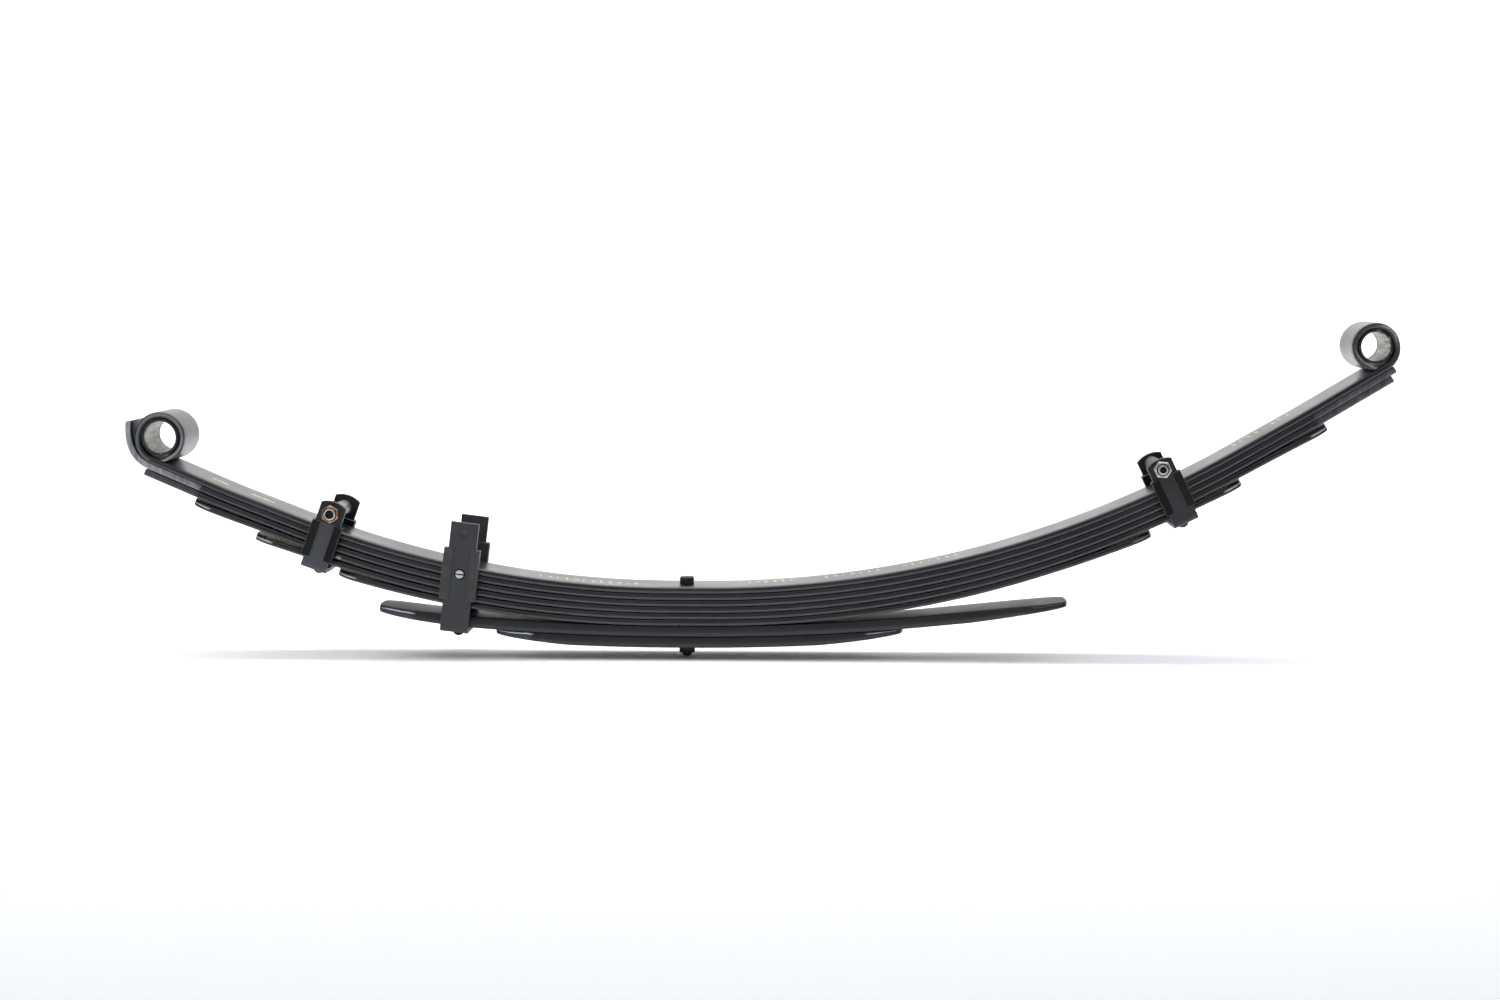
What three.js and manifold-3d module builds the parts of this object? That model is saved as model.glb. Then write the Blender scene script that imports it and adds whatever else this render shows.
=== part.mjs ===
// A semi-elliptic leaf spring for the rear axle of a light truck, in millimetres.
// +X runs towards the rear eye, +Y across the leaves, +Z up. The origin is on the centre
// bolt's axis, on the top face of the main leaf, where the axle's seat bears.
// Six thin leaves follow one spring line and open out a little towards their ends. Two thick,
// flatter helper leaves lie under them. Three U-shaped clips hold the pack in line.
import * as THREE from 'three';
import { mergeVertices } from 'three/addons/utils/BufferGeometryUtils.js';
import Module from 'manifold-3d';

const wasm = await Module();
wasm.setup();

const RAD = Math.PI / 180;
const GAP = 0.4; // clearance between faces that bear on each other

// ---- spring line: the main leaf's top face, from the centre bolt out to each eye
const SEAT_FRONT = 17.5;
const SEAT_REAR = 24.5;
const FRONT_RADIUS = 1103;
const FRONT_SWEEP = 21.1 * RAD;
const REAR_RADIUS = 1128;
const REAR_SWEEP = 29.85 * RAD;
const END_STRAIGHT = 70;
const FRONT_EYE_SET = { radius: 800, sweep: 2.2 * RAD, run: 74 };
const REAR_EYE_SET = { radius: 1200, sweep: 1.35 * RAD, run: 83.5 };

// ---- leaves
const WIDTH = 60;
const THIN = 6.6;
const THIN_PITCH = THIN + GAP;
const HELPER = 11.7;
const HELPER_PITCH = HELPER + GAP;
const HELPER_SEAT = 10;
const HELPER_FRONT = { radius: 2750, run: 258 };
const HELPER_FRONT_TIP = { radius: 800, run: 40 };
const HELPER_REAR = { radius: 2600, run: 262 };
const EDGE = 1.4; // the bar's rolled side edges
const SPREAD_FRONT = 0.85; // how far each thin leaf opens from the one above it
const SPREAD_REAR = 0.25;
const SPREAD_LENGTH = 320;
const DROOP_LENGTH = 140; // each free tip turns away from the leaf above over this length
const TRIM_DEPTH = 1.2; // the longest leaves' ends are sheared a little narrower than the bar
const CORNER = 12; // how much narrower each side is where a cropped tip ends
const TIP_BOW = 2.5; // how far a cropped tip bows out past its corners
const STATION = 26; // longest facet along a leaf

// ---- eyes: the main leaf rolls up and over towards the centre
const FRONT_EYE = { inner: 20.6, lift: 23.4, tip: 24.4, bore: 17.3 };
const REAR_EYE = { inner: 18.5, lift: 21.4, tip: 22.2, bore: 15.6 };
const EYE_FACET = 11 * RAD;
const EYE_CLOSE = 80 * RAD; // angle over which the roll closes down to its bore
const TIP_ANGLE = 24 * RAD; // the scroll's tip stops this far short of a full turn
const TIP_TAPER = 50 * RAD;
const SLEEVE_LENGTH = WIDTH - 1;
const WRAP_ANGLE = 95.6 * RAD; // the second leaf cradles the front eye this far round
const WRAP_FOLLOWS = 40 * RAD;
const WRAP_OPENING = 5.2;
const WRAP_END = { thickness: 5.2, slant: 0.96 }; // the cradle's tip is thinned and cut level

// ---- centre bolt
const BOLT = 10;
const BOLT_HOLE = 10.8;
const BOLT_HEAD = { diameter: 15.5, height: 8 };
const NUT_FLATS = 16.6;
const CENTRE_NUT = 9;
const BOLT_STUB = 3.3;

// ---- clips
const STRAP = 5;
const STRAP_INNER = 32.8; // half the distance between a strap's two arms
const STRAP_BEND = 6;
const REBOUND = { width: 28, earCorner: 26.8, earRise: 3.8 };
const FRONT_REBOUND = {
  ...REBOUND, bolt: 17.5, nutTurn: 20, linerTop: 6, linerFoot: 34.5, floorGap: 4.4,
};
const REAR_REBOUND = {
  ...REBOUND, bolt: 19.7, nutTurn: 0, linerTop: 11.2, linerFoot: 29, floorGap: 3.9,
};
const GUIDE = {
  width: 30, top: 48.5, linerTop: 20, linerFoot: 36, peg: -7.5, dimple: 36, floorGap: 0.9,
};
const FRONT_CLIP_AT = 394;
const REAR_CLIP_AT = 533;
const GUIDE_CLIP_AT = 249;
const GUIDE_LEAN = 2 * RAD; // the tall clip leans this much from square to its leaf
const GUIDE_SPAN = 54.4; // from the upper helper's top face to the main leaf's, at that clip
const CLIP_NUT = 8;
const CLIP_HEAD = 6.4;
const SPACER_OUTER = 16;
const LINER_WEB = 2;
const REBOUND_LINER = { flange: 2.2, lip: 8.6, lipThick: 1.7 };
const GUIDE_LINER = { flange: 4, lip: 10, lipThick: 1.7 };
const LIP_RIM = 1.2; // flat rim along a lip's outer edge; the rest slopes in to the strap
const RIVET = { shank: 8, head: 12, collar: 5, rise: 3.6, sink: 12, sinkDepth: 2.2 };
const PEG = { diameter: 9.6, hole: 11.8, proud: 1.2, slot: 1.6 };
const DIMPLE = { diameter: 9, depth: 1 };
const ROUND = 30; // sides of a turned surface

const STEEL = { color: 0x24272c, roughness: 0.42, metalness: 0.2 };
const STRAP_STEEL = { color: 0x2b2e33, roughness: 0.55, metalness: 0.2 };
const NYLON = { color: 0x141517, roughness: 0.6, metalness: 0 };
const BRIGHT = { color: 0xa8a59e, roughness: 0.35, metalness: 0.9 };
const PASSIVATED = { color: 0xa8724a, roughness: 0.4, metalness: 0.8 };

// ---------------------------------------------------------------- solids

function toSolid(geometry) {
  const bare = geometry.clone();
  bare.deleteAttribute('normal');
  bare.deleteAttribute('uv');
  const merged = mergeVertices(bare, 1e-4);
  const mesh = new wasm.Mesh({
    numProp: 3,
    vertProperties: new Float32Array(merged.attributes.position.array),
    triVerts: new Uint32Array(merged.index.array),
  });
  return new wasm.Manifold(mesh);
}

function toGeometry(solid) {
  const mesh = solid.getMesh();
  const geometry = new THREE.BufferGeometry();
  geometry.setAttribute('position', new THREE.BufferAttribute(mesh.vertProperties, 3));
  geometry.setIndex(new THREE.BufferAttribute(mesh.triVerts, 1));
  geometry.computeVertexNormals();
  return geometry;
}

// A closed [x, z] outline becomes a bar across the leaves, centred on y = 0.
function acrossY(outline, width, edge = 0) {
  const shape = new THREE.Shape(outline.map(([x, z]) => new THREE.Vector2(x, z)));
  const bar = new THREE.ExtrudeGeometry(shape, {
    depth: width - 2 * edge,
    bevelEnabled: edge > 0,
    bevelThickness: edge,
    bevelSize: edge,
    bevelOffset: -edge,
    bevelSegments: 1,
  });
  return bar.rotateX(Math.PI / 2).translate(0, width / 2 - edge, 0);
}

// A closed [x, y] outline becomes an upright prism between two heights.
function upright(outline, low, high) {
  const shape = new THREE.Shape(outline.map(([x, y]) => new THREE.Vector2(x, y)));
  const prism = new THREE.ExtrudeGeometry(shape, { depth: high - low, bevelEnabled: false });
  return prism.translate(0, 0, low);
}

// A closed [y, z] outline becomes a bar along x, centred on x = 0.
function alongX(outline, width) {
  const shape = new THREE.Shape(outline.map(([y, z]) => new THREE.Vector2(y, z)));
  const bar = new THREE.ExtrudeGeometry(shape, { depth: width, bevelEnabled: false });
  return bar.rotateX(Math.PI / 2).rotateZ(Math.PI / 2).translate(-width / 2, 0, 0);
}

// A turned solid: [radius, height] points up the Z axis, from axis to axis.
function turned(profile, sides = ROUND) {
  return new THREE.LatheGeometry(profile.map(([r, z]) => new THREE.Vector2(r, z)), sides)
    .rotateX(Math.PI / 2);
}

function cylinder(diameter, low, high, sides = ROUND) {
  const r = diameter / 2;
  return turned([[0, low], [r, low], [r, high], [0, high]], sides);
}

function tube(inner, outer, half) {
  return turned([[inner, -half], [outer, -half], [outer, half], [inner, half], [inner, -half]]);
}

// Turns a solid that stands along Z so that it lies along Y.
function ontoY(geometry) {
  return geometry.rotateX(-Math.PI / 2);
}

// ---------------------------------------------------------------- spring line

const LINE = {
  front: [
    { run: SEAT_FRONT },
    { run: FRONT_RADIUS * FRONT_SWEEP, radius: FRONT_RADIUS },
    { run: END_STRAIGHT },
    { run: FRONT_EYE_SET.radius * FRONT_EYE_SET.sweep, radius: FRONT_EYE_SET.radius },
    { run: FRONT_EYE_SET.run },
  ],
  rear: [
    { run: SEAT_REAR },
    { run: REAR_RADIUS * REAR_SWEEP, radius: REAR_RADIUS },
    { run: END_STRAIGHT },
    { run: REAR_EYE_SET.radius * REAR_EYE_SET.sweep, radius: REAR_EYE_SET.radius },
    { run: REAR_EYE_SET.run },
  ],
};
const HELPER_LINE = {
  front: [{ run: HELPER_SEAT }, HELPER_FRONT, HELPER_FRONT_TIP],
  rear: [{ run: HELPER_SEAT }, HELPER_REAR],
};
const lengthOf = (line) => line.reduce((sum, part) => sum + part.run, 0);
const EYE_AT = { front: lengthOf(LINE.front), rear: lengthOf(LINE.rear) };

// The point that lies s along a line, and its slope, going outwards from the centre bolt.
function pointOn(line, s) {
  let [x, z, slope, left] = [0, 0, 0, s];
  for (const { run, radius } of line) {
    const step = Math.min(left, run);
    if (radius) {
      const next = slope + step / radius;
      x += radius * (Math.sin(next) - Math.sin(slope));
      z += radius * (Math.cos(slope) - Math.cos(next));
      slope = next;
    } else {
      x += step * Math.cos(slope);
      z += step * Math.sin(slope);
    }
    left -= step;
    if (left <= 0) break;
  }
  return { x: x + left * Math.cos(slope), z: z + left * Math.sin(slope), slope };
}

// A point at a depth below a line, on one side of the centre bolt (-1 front, +1 rear).
function below(line, side, s, depth) {
  const { x, z, slope } = pointOn(line, s);
  return [side * (x + depth * Math.sin(slope)), z - depth * Math.cos(slope)];
}

const range = (count, start, end) =>
  Array.from({ length: count + 1 }, (_, i) => start + ((end - start) * i) / count);
const smooth = (t) => {
  const u = Math.min(1, Math.max(0, t));
  return u * u * (3 - 2 * u);
};
const easeIn = (s, from, length) => Math.max(0, (s - from) / length) ** 2;

// ---------------------------------------------------------------- leaves

// Depth of a thin leaf's top face below the spring line.
function thinDepth(leaf, end, s) {
  const perLeaf = end.side < 0 ? SPREAD_FRONT : SPREAD_REAR;
  const opened = Math.max(0, leaf.order - 1) * perLeaf * smooth(s / SPREAD_LENGTH);
  const droop = (end.droop ?? 0) * easeIn(s, end.tip - DROOP_LENGTH, DROOP_LENGTH);
  return leaf.order * THIN_PITCH + opened + droop;
}

// Half of a leaf's side view: its top and bottom edge from the bolt out to one tip.
function halfEdges(end, line, stop, top, thickness) {
  const stations = range(Math.ceil(stop / STATION), 0, stop).slice(1);
  return {
    top: stations.map((s) => below(line, end.side, s, top(s))),
    bottom: stations.map((s) => below(line, end.side, s, top(s) + thickness(s))),
  };
}

// Joins the two halves, and anything rolled beyond them, into one closed outline.
function sideOutline(front, rear) {
  return [...[...front.top].reverse(), ...rear.top, ...[...rear.bottom].reverse(), ...front.bottom];
}

// One end of a leaf in plan, from its side to its middle. An end is either sheared square and
// a little narrow, or cropped to a rounded taper.
function endPlan(tipX, side, { trim, crop }) {
  const half = WIDTH / 2;
  if (trim) {
    const inX = tipX - side * trim;
    return [
      [inX, half + 1], [inX, half - 0.8], [inX + side * 1.5, half - TRIM_DEPTH],
      [tipX - side * 1.2, half - TRIM_DEPTH], [tipX, half - TRIM_DEPTH - 1.2],
    ];
  }
  const startX = tipX - side * crop;
  const curve = range(6, 0, 90 * RAD).map((a) => [
    startX + side * (crop - TIP_BOW) * Math.sin(a), half - CORNER * (1 - Math.cos(a)),
  ]);
  return [[startX, half + 1], ...curve, [tipX - side * TIP_BOW * 0.2, half * 0.3]];
}

// Plan view of a whole leaf, counter-clockwise from its rear end's far side.
function planOutline(frontX, front, rearX, rear) {
  const wholeEnd = (points) => [...points, ...[...points].reverse().map(([x, y]) => [x, -y])];
  const turnedRound = (points) => points.map(([x, y]) => [x, -y]);
  return [...wholeEnd(endPlan(rearX, 1, rear)), ...turnedRound(wholeEnd(endPlan(frontX, -1, front)))];
}

function boltHole() {
  return toSolid(cylinder(BOLT_HOLE, -200, 200));
}

// The centre of an eye: square to the spring line's end, above the main leaf.
function eyeCentre(side, eye) {
  const line = side < 0 ? LINE.front : LINE.rear;
  return below(line, side, lengthOf(line), -eye.lift);
}

// The roll from the spring line's end, up the outside, over the top and back down.
function roll(side, eye) {
  const line = side < 0 ? LINE.front : LINE.rear;
  const { slope } = pointOn(line, lengthOf(line));
  const [cx, cz] = eyeCentre(side, eye);
  const lastAngle = 2 * Math.PI - TIP_ANGLE;
  const at = (radius, angle) => {
    const a = slope + angle;
    return [cx + side * radius * Math.sin(a), cz - radius * Math.cos(a)];
  };
  const inner = (angle) => {
    const closing = eye.inner + (eye.lift - eye.inner) * (1 - smooth(angle / EYE_CLOSE));
    const taper = smooth((angle - (lastAngle - (TIP_TAPER - TIP_ANGLE))) / (TIP_TAPER - TIP_ANGLE));
    return closing + (eye.tip - eye.inner) * taper;
  };
  const outer = (angle) => {
    const full = inner(Math.min(angle, Math.PI)) + THIN;
    const back = 2 * Math.PI - angle;
    return back < 1 ? Math.min(full, (eye.lift - GAP) / Math.cos(back)) : full;
  };
  const angles = range(Math.round(lastAngle / EYE_FACET), 0, lastAngle).slice(1);
  return {
    top: angles.map((a) => at(inner(a), a)),
    bottom: angles.map((a) => at(outer(a), a)),
  };
}

// The second leaf's end, which cradles the front eye and stands off it at the tip.
function wrap() {
  const { slope } = pointOn(LINE.front, EYE_AT.front);
  const [cx, cz] = eyeCentre(-1, FRONT_EYE);
  const angles = range(Math.round(WRAP_ANGLE / EYE_FACET), 0, WRAP_ANGLE).slice(1);
  const at = (radius, angle) => {
    const a = slope + angle;
    return [cx - radius * Math.sin(a), cz - radius * Math.cos(a)];
  };
  const inner = (angle) => {
    const opening = Math.max(0, (angle - WRAP_FOLLOWS) / (WRAP_ANGLE - WRAP_FOLLOWS)) ** 2.2;
    return FRONT_EYE.lift + THIN_PITCH + WRAP_OPENING * opening;
  };
  const ending = (angle) => smooth((angle - WRAP_FOLLOWS) / (WRAP_ANGLE - WRAP_FOLLOWS));
  const outer = (angle) => inner(angle) + THIN + (WRAP_END.thickness - THIN) * ending(angle);
  return {
    top: angles.map((a) => at(inner(a), a)),
    bottom: angles.map((a) => at(outer(a), a * (1 + (WRAP_END.slant - 1) * ending(a)))),
  };
}

const joined = (a, b) => ({ top: [...a.top, ...b.top], bottom: [...a.bottom, ...b.bottom] });
const even = (thickness) => () => thickness;

function mainLeaf() {
  const half = (side, eye, line) => joined(
    halfEdges({ side }, line, lengthOf(line), even(0), even(THIN)),
    roll(side, eye),
  );
  const bar = acrossY(sideOutline(half(-1, FRONT_EYE, LINE.front), half(1, REAR_EYE, LINE.rear)), WIDTH);
  return toSolid(bar).subtract(boltHole());
}

// order counts down the pack from the main leaf; tips are measured along the spring line.
const THIN_LEAVES = [
  {
    name: 'second_leaf', order: 1,
    front: { tip: EYE_AT.front, trim: 62, wraps: true },
    rear: { tip: 799.6, trim: 100 },
  },
  {
    name: 'third_leaf', order: 2,
    front: { tip: 600, trim: 64 },
    rear: { tip: 792.5, trim: 92 },
  },
  {
    name: 'fourth_leaf', order: 3,
    front: { tip: 542, crop: 24, droop: 2.2 },
    rear: { tip: 711, crop: 24, droop: 3 },
  },
  {
    name: 'fifth_leaf', order: 4,
    front: { tip: 468, crop: 24, droop: 4.6 },
    rear: { tip: 604.5, crop: 24, droop: 2.6 },
  },
  {
    name: 'sixth_leaf', order: 5,
    front: { tip: 372, crop: 24, droop: 2.2 },
    rear: { tip: 498, crop: 24, droop: 2.6 },
  },
];

// Cuts a leaf's ends to their plan. A wrapped end has its sides trimmed but keeps its length.
function leafBar(outline, front, rear) {
  const xs = outline.map(([x]) => x);
  const [low, high] = [Math.min(...xs), Math.max(...xs)];
  const plan = planOutline(front.wraps ? low - 5 : low, front, high, rear);
  return toSolid(acrossY(outline, WIDTH, EDGE))
    .intersect(toSolid(upright(plan, -120, 320)))
    .subtract(boltHole());
}

function thinLeaf(leaf) {
  const half = (end, side, line) => {
    const placed = { ...end, side };
    const edges = halfEdges(placed, line, end.tip, (s) => thinDepth(leaf, placed, s), even(THIN));
    return end.wraps ? joined(edges, wrap()) : edges;
  };
  const outline = sideOutline(half(leaf.front, -1, LINE.front), half(leaf.rear, 1, LINE.rear));
  return leafBar(outline, leaf.front, leaf.rear);
}

const HELPER_LEAVES = [
  {
    name: 'upper_helper_leaf', order: 0,
    front: { tip: 330.5, tipThickness: 6.8, taper: 100, crop: 43 },
    rear: { tip: 409.5, tipThickness: 5.2, taper: 110, crop: 43 },
  },
  {
    name: 'lower_helper_leaf', order: 1,
    front: { tip: 205, tipThickness: 5.2, taper: 85, crop: 44 },
    rear: { tip: 231, tipThickness: 5.2, taper: 95, crop: 42 },
  },
];
const HELPER_TOP = (THIN_LEAVES.length + 1) * THIN_PITCH;

function helperLeaf(leaf) {
  const half = (end, side, line) => {
    const top = even(HELPER_TOP + leaf.order * HELPER_PITCH);
    const thickness = (s) => {
      const t = Math.max(0, (s - (end.tip - end.taper)) / end.taper);
      return HELPER - (HELPER - end.tipThickness) * t ** 1.4;
    };
    return halfEdges({ side }, line, end.tip, top, thickness);
  };
  const outline = sideOutline(
    half(leaf.front, -1, HELPER_LINE.front),
    half(leaf.rear, 1, HELPER_LINE.rear),
  );
  return leafBar(outline, leaf.front, leaf.rear);
}

// ---------------------------------------------------------------- eye sleeves

function eyeSleeve(side, eye) {
  const outer = eye.inner - 0.35;
  const inner = eye.bore;
  const half = SLEEVE_LENGTH / 2;
  const [x, z] = eyeCentre(side, eye);
  return toSolid(ontoY(tube(inner, outer, half)).translate(x, 0, z));
}

// ---------------------------------------------------------------- centre bolt

const PACK_DEPTH = HELPER_TOP + HELPER_PITCH + HELPER;

function centreBolt() {
  const { diameter, height } = BOLT_HEAD;
  const foot = -(PACK_DEPTH + GAP + CENTRE_NUT + BOLT_STUB);
  const seat = GAP;
  return toSolid(turned([
    [0, foot], [BOLT / 2 - 1, foot], [BOLT / 2, foot + 1], [BOLT / 2, seat],
    [diameter / 2, seat], [diameter / 2, seat + height - 1], [diameter / 2 - 1, seat + height],
    [0, seat + height],
  ]));
}

// A hexagon nut standing along Z, with chamfered corners and a clear hole.
function hexNut(flats, height, bore) {
  const corner = flats / 2 / Math.cos(30 * RAD);
  const hexagon = toSolid(cylinder(2 * corner, 0, height, 6));
  const cone = toSolid(turned([
    [0, 0], [flats / 2 * 0.97, 0], [corner + 0.1, 1.6], [corner + 0.1, height - 1.6],
    [flats / 2 * 0.97, height], [0, height],
  ]));
  return hexagon.intersect(cone).subtract(toSolid(cylinder(bore, -1, height + 1)));
}

function centreNut() {
  const nut = hexNut(NUT_FLATS, CENTRE_NUT, BOLT + 0.6);
  return nut.translate([0, 0, -(PACK_DEPTH + GAP + CENTRE_NUT)]);
}

// ---------------------------------------------------------------- clips
// A clip is built upright about the point where its normal crosses the spring line, x along
// the leaves and z out of the pack, and is then leaned over onto its leaf.

// A U-shaped strap's section: two arms and a floor, with rounded corners outside.
function strapSection(top, floor) {
  const outer = STRAP_INNER + STRAP;
  const shape = new THREE.Shape();
  shape.moveTo(-outer, top);
  shape.lineTo(-outer, floor - STRAP + STRAP_BEND);
  shape.absarc(-outer + STRAP_BEND, floor - STRAP + STRAP_BEND, STRAP_BEND, Math.PI, 1.5 * Math.PI);
  shape.lineTo(outer - STRAP_BEND, floor - STRAP);
  shape.absarc(outer - STRAP_BEND, floor - STRAP + STRAP_BEND, STRAP_BEND, -0.5 * Math.PI, 0);
  shape.lineTo(outer, top);
  shape.lineTo(STRAP_INNER, top);
  const inBend = STRAP_BEND - STRAP;
  shape.lineTo(STRAP_INNER, floor + inBend);
  shape.absarc(STRAP_INNER - inBend, floor + inBend, inBend, 0, -0.5 * Math.PI, true);
  shape.lineTo(-STRAP_INNER + inBend, floor);
  shape.absarc(-STRAP_INNER + inBend, floor + inBend, inBend, -0.5 * Math.PI, -Math.PI, true);
  shape.lineTo(-STRAP_INNER, top);
  return shape.getPoints(5).map((p) => [p.x, p.y]);
}

// A low arch across the top of an ear, from one corner to the other.
function archPoints(width, corner, rise) {
  const radius = ((width / 2) ** 2 + rise ** 2) / (2 * rise);
  const sweep = Math.asin(width / 2 / radius);
  return range(8, -sweep, sweep).map((a) => [
    radius * Math.sin(a), corner + rise - radius + radius * Math.cos(a),
  ]);
}

function strapBlank(width, top, floor) {
  return toSolid(alongX(strapSection(top, floor), width));
}

function crossHole(diameter, z) {
  const reach = STRAP_INNER + STRAP + 10;
  return toSolid(ontoY(cylinder(diameter, -reach, reach)).translate(0, 0, z));
}

function rivetHole(floor) {
  return toSolid(cylinder(RIVET.shank + 0.6, floor - STRAP - 5, floor + 5));
}

function reboundStrap({ width, earCorner, earRise, bolt }, floor) {
  const face = [[-width, floor - 20], [width, floor - 20], [width, 0], [width / 2, 0],
    ...archPoints(width, earCorner, earRise).reverse(), [-width / 2, 0], [-width, 0]];
  return strapBlank(width, earCorner + earRise, floor)
    .intersect(toSolid(acrossY(face, 120)))
    .subtract(crossHole(BOLT + 0.6, bolt))
    .subtract(rivetHole(floor));
}

function guideStrap(floor) {
  const { width, top, peg, dimple } = GUIDE;
  const reach = STRAP_INNER + STRAP;
  const radius = ((DIMPLE.diameter / 2) ** 2 + DIMPLE.depth ** 2) / (2 * DIMPLE.depth);
  let strap = strapBlank(width, top, floor)
    .subtract(crossHole(PEG.hole, peg))
    .subtract(rivetHole(floor));
  for (const side of [-1, 1]) {
    const ball = new THREE.SphereGeometry(radius, 32, 20);
    ball.translate(0, side * (reach + radius - DIMPLE.depth), dimple);
    strap = strap.subtract(toSolid(ball));
  }
  return strap;
}

// A nylon channel on one arm: a web against the leaves, and lips that hold the strap's edges.
function linerSection(width, { flange, lip, lipThick }) {
  const clear = 0.35;
  const half = width / 2 + clear;
  const web = STRAP_INNER - clear;
  const out = STRAP_INNER + STRAP + clear;
  const edge = half + flange;
  return [
    [-edge, web - LINER_WEB], [edge, web - LINER_WEB], [edge, out + lipThick],
    [edge - LIP_RIM, out + lipThick], [edge - lip, out + 0.6], [edge - lip, out], [half, out],
    [half, web], [-half, web], [-half, out], [-edge + lip, out], [-edge + lip, out + 0.6],
    [-edge + LIP_RIM, out + lipThick], [-edge, out + lipThick],
  ];
}

function liner(side, clip, form, floor) {
  const outline = linerSection(clip.width, form).map(([x, y]) => [x, side * y]);
  const half = clip.width / 2 + 0.35;
  const web = side * (STRAP_INNER - LINER_WEB / 2);
  const bendTop = floor + STRAP_BEND - STRAP + 0.4;
  const bendRoom = new THREE.BoxGeometry(2 * half, LINER_WEB + 4, 60);
  bendRoom.translate(0, web, bendTop - 30);
  return toSolid(upright(outline, -clip.linerFoot, clip.linerTop)).subtract(toSolid(bendRoom));
}

// The guide clip's liners also have a split peg that snaps through the strap.
function guideLiner(side, floor) {
  const from = STRAP_INNER - LINER_WEB;
  const to = STRAP_INNER + STRAP + PEG.proud;
  const peg = ontoY(cylinder(PEG.diameter, from, to, 24)).translate(0, 0, GUIDE.peg);
  const slot = new THREE.BoxGeometry(PEG.diameter + 2, STRAP + PEG.proud, PEG.slot);
  slot.translate(0, STRAP_INNER + (STRAP + PEG.proud) / 2 + 0.5, GUIDE.peg);
  const split = toSolid(peg).subtract(toSolid(slot));
  const turnedPeg = side > 0 ? split : split.rotate([0, 0, 180]);
  return liner(side, GUIDE, GUIDE_LINER, floor).add(turnedPeg);
}

function clipNut({ bolt, nutTurn }) {
  const nut = hexNut(NUT_FLATS, CLIP_NUT, BOLT + 0.6);
  const face = STRAP_INNER + STRAP + 0.3;
  return nut.rotate([0, 0, nutTurn]).rotate([90, 0, 0]).translate([0, -face, bolt]);
}

// The clip's bolt lies along Y: its hexagon head is on the far side, its cupped end in the nut.
function clipBolt({ bolt }) {
  const seat = STRAP_INNER + STRAP + 0.3;
  const end = -(seat + CLIP_NUT + 1);
  const shank = toSolid(ontoY(turned([
    [0, end + 3], [3.2, end + 3], [3.2, end], [BOLT / 2 - 0.8, end], [BOLT / 2, end + 0.8],
    [BOLT / 2, seat + 1], [0, seat + 1],
  ])));
  const corner = NUT_FLATS / 2 / Math.cos(30 * RAD);
  const head = toSolid(ontoY(cylinder(2 * corner, seat, seat + CLIP_HEAD, 6)));
  return shank.add(head).translate([0, 0, bolt]);
}

function spacer({ bolt }) {
  const half = STRAP_INNER - 0.3;
  return toSolid(ontoY(tube(BOLT / 2 + 0.3, SPACER_OUTER / 2, half)).translate(0, 0, bolt));
}

// A deep round-headed rivet from under the strap, closed flush in a countersink on the leaf's top.
function rivet({ floor, gap }, thickness) {
  const { shank, head, collar, rise, sink, sinkDepth } = RIVET;
  const seat = floor - STRAP - 0.3;
  const crown = seat - collar - rise;
  const top = floor + gap + thickness - 0.2;
  const radius = ((head / 2) ** 2 + rise ** 2) / (2 * rise);
  const dome = range(6, 0, Math.asin(head / 2 / radius)).map((a) => [
    radius * Math.sin(a), crown + radius - radius * Math.cos(a),
  ]);
  return toSolid(turned([
    ...dome, [head / 2, seat], [shank / 2, seat], [shank / 2, top - sinkDepth],
    [sink / 2 - 0.4, top], [0, top],
  ]));
}

// The countersunk hole that a rivet leaves in its leaf, in the clip's own frame.
function rivetSeat({ floor, gap }, thickness) {
  const { shank, sink, sinkDepth } = RIVET;
  const bottom = floor + gap;
  const top = bottom + thickness;
  const wide = (sink - shank) / 2 / sinkDepth;
  return toSolid(turned([
    [0, bottom - 4], [shank / 2 + 0.3, bottom - 4], [shank / 2 + 0.3, top - sinkDepth],
    [sink / 2 + 0.3 + wide * 2, top + 2], [0, top + 2],
  ]));
}

// Leans a solid from the clip's frame to its place on the spring.
function placed(solid, place) {
  return solid.rotate([0, -place.lean / RAD, 0]).translate([place.x, 0, place.z]);
}

// Depth of the fifth leaf's bottom face, which both rebound clips are riveted to.
const FIFTH = THIN_LEAVES[3];
const fifthFoot = (side, s) => {
  const end = side < 0 ? { ...FIFTH.front, side } : { ...FIFTH.rear, side };
  return thinDepth(FIFTH, end, s) + THIN;
};

function reboundPlace(side, s, gap) {
  const { x, z, slope } = pointOn(side < 0 ? LINE.front : LINE.rear, s);
  return { x: side * x, z, lean: side * slope, gap, floor: -(fifthFoot(side, s) + gap) };
}

function guidePlace() {
  const { x, z, slope } = pointOn(HELPER_LINE.front, GUIDE_CLIP_AT);
  const lean = slope + GUIDE_LEAN;
  return {
    x: -(x - GUIDE_SPAN * Math.sin(lean)), z: z - HELPER_TOP + GUIDE_SPAN * Math.cos(lean),
    lean: -lean, gap: GUIDE.floorGap, floor: -(GUIDE_SPAN + HELPER + GUIDE.floorGap),
  };
}

const FRONT_PLACE = reboundPlace(-1, FRONT_CLIP_AT, FRONT_REBOUND.floorGap);
const REAR_PLACE = reboundPlace(1, REAR_CLIP_AT, REAR_REBOUND.floorGap);
const GUIDE_PLACE = guidePlace();

// ---------------------------------------------------------------- assembly

const spring = new THREE.Group();

function addPart(name, solid, look) {
  const mesh = new THREE.Mesh(toGeometry(solid), new THREE.MeshStandardMaterial(look));
  mesh.name = name;
  spring.add(mesh);
}

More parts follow.
